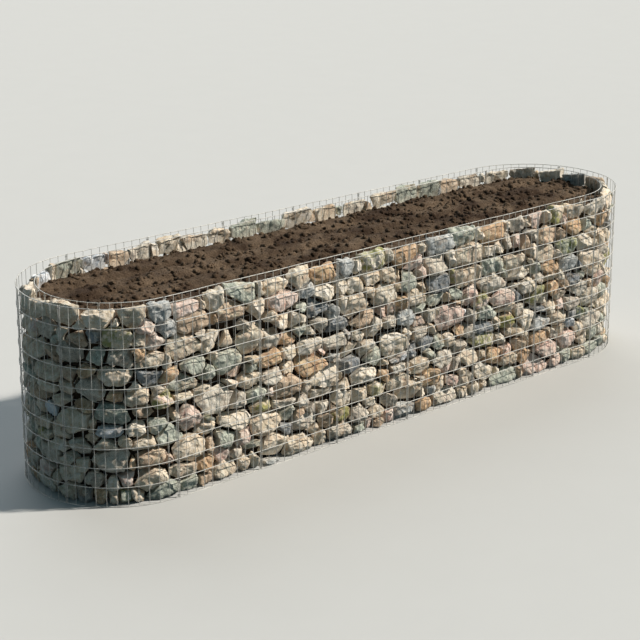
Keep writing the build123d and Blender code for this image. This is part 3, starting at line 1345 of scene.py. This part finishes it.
class GABION_OT_soil(bpy.types.Operator):
    """Fill the bed with planting soil, uneven and strewn with clods"""

    bl_idname = "gabion.soil"
    bl_label = "Soil"

    def execute(self, context):
        soil = context.scene.gabion_soil
        ground = fill_of_soil(soil)
        piece = join([ground, scatter_clods(soil, ground)])
        shade(piece, 45)
        hand_over(piece, "planting_soil", soil_material(soil))
        return {"FINISHED"}


# Stage


class GABION_OT_stage(bpy.types.Operator):
    """Set up the pale floor, the lights and the camera"""

    bl_idname = "gabion.stage"
    bl_label = "Stage"

    def execute(self, context):
        stage = context.scene.gabion_stage
        bpy.ops.object.select_all(action="DESELECT")
        bpy.ops.mesh.primitive_plane_add(size=120, location=(0, 0, 0))
        floor = context.object
        floor.name = floor.data.name = "floor"
        floor.data.materials.append(floor_material(stage))
        self.light_world(context, stage)
        key_turn, back_turn = math.pi / 2 - stage.key_heading, math.radians(BACK_HEADING)
        lamps = (
            ("key_light", stage.key_strength, KEY_COLOUR, KEY_SPREAD, key_turn),
            ("back_light", stage.back_strength, BACK_COLOUR, BACK_SPREAD, back_turn),
        )
        for name, strength, colour, spread, turn in lamps:
            bpy.ops.object.light_add(type="SUN", location=(0, 0, 6))
            lamp = context.object
            lamp.name = lamp.data.name = name
            lamp.data.energy = strength
            lamp.data.color = colour
            lamp.data.angle = math.radians(spread)
            lamp.rotation_euler = (math.pi / 2 - stage.light_height, 0, turn)
        bpy.ops.object.camera_add(location=stage.camera_at, rotation=(stage.pitch, 0, stage.yaw))
        camera = context.object
        camera.data.lens = stage.lens
        camera.data.sensor_width = 36
        camera.data.shift_y = stage.shift
        camera.data.clip_end = 300
        context.scene.camera = camera
        context.scene.view_settings.view_transform = "Standard"
        return {"FINISHED"}

    def light_world(self, context, stage):
        """Soft light from all round, with a pale background for the camera and for gloss."""
        world = context.scene.world or bpy.data.worlds.new("pale_room")
        context.scene.world = world
        world.use_nodes = True
        tree = world.node_tree
        tree.nodes.clear()
        fill = {"Color": FILL_COLOUR, "Strength": stage.fill_strength}
        light = add_node(tree, "Background", fill).outputs[0]
        shown = add_node(tree, "Background", {"Color": BACKGROUND, "Strength": 1.0}).outputs[0]
        both = add_node(tree, "MixShader", {0: direct_rays(tree), 1: light, 2: shown})
        output = add_node(tree, "OutputWorld")
        tree.links.new(both.outputs[0], output.inputs["Surface"])


# Add-on


class GABION_PT_parts(bpy.types.Panel):
    """Buttons for the parts of the bed"""

    bl_idname = "GABION_PT_parts"
    bl_label = "Gabion raised bed"
    bl_space_type = "VIEW_3D"
    bl_region_type = "UI"
    bl_category = "Gabion"

    def draw(self, context):
        for operator in OPERATORS:
            self.layout.operator(operator.bl_idname)


OPERATORS = (
    GABION_OT_stones,
    GABION_OT_mesh_panels,
    GABION_OT_binders,
    GABION_OT_soil,
    GABION_OT_stage,
)
SETTINGS = {
    "gabion_stones": GabionStoneSettings,
    "gabion_wires": GabionWireSettings,
    "gabion_soil": GabionSoilSettings,
    "gabion_stage": GabionStageSettings,
}


def register():
    """Registers the settings, the operators and the panel."""
    for key, settings in SETTINGS.items():
        bpy.utils.register_class(settings)
        setattr(bpy.types.Scene, key, PointerProperty(type=settings))
    for kind in (*OPERATORS, GABION_PT_parts):
        bpy.utils.register_class(kind)


def unregister():
    """Takes them all back."""
    for kind in (GABION_PT_parts, *reversed(OPERATORS)):
        bpy.utils.unregister_class(kind)
    for key, settings in SETTINGS.items():
        delattr(bpy.types.Scene, key)
        bpy.utils.unregister_class(settings)


def main():
    """Makes the parts in order."""
    register()
    bpy.ops.gabion.stones()
    bpy.ops.gabion.mesh_panels()
    bpy.ops.gabion.binders()
    bpy.ops.gabion.soil()
    bpy.ops.gabion.stage()


if __name__ == "__main__":
    main()
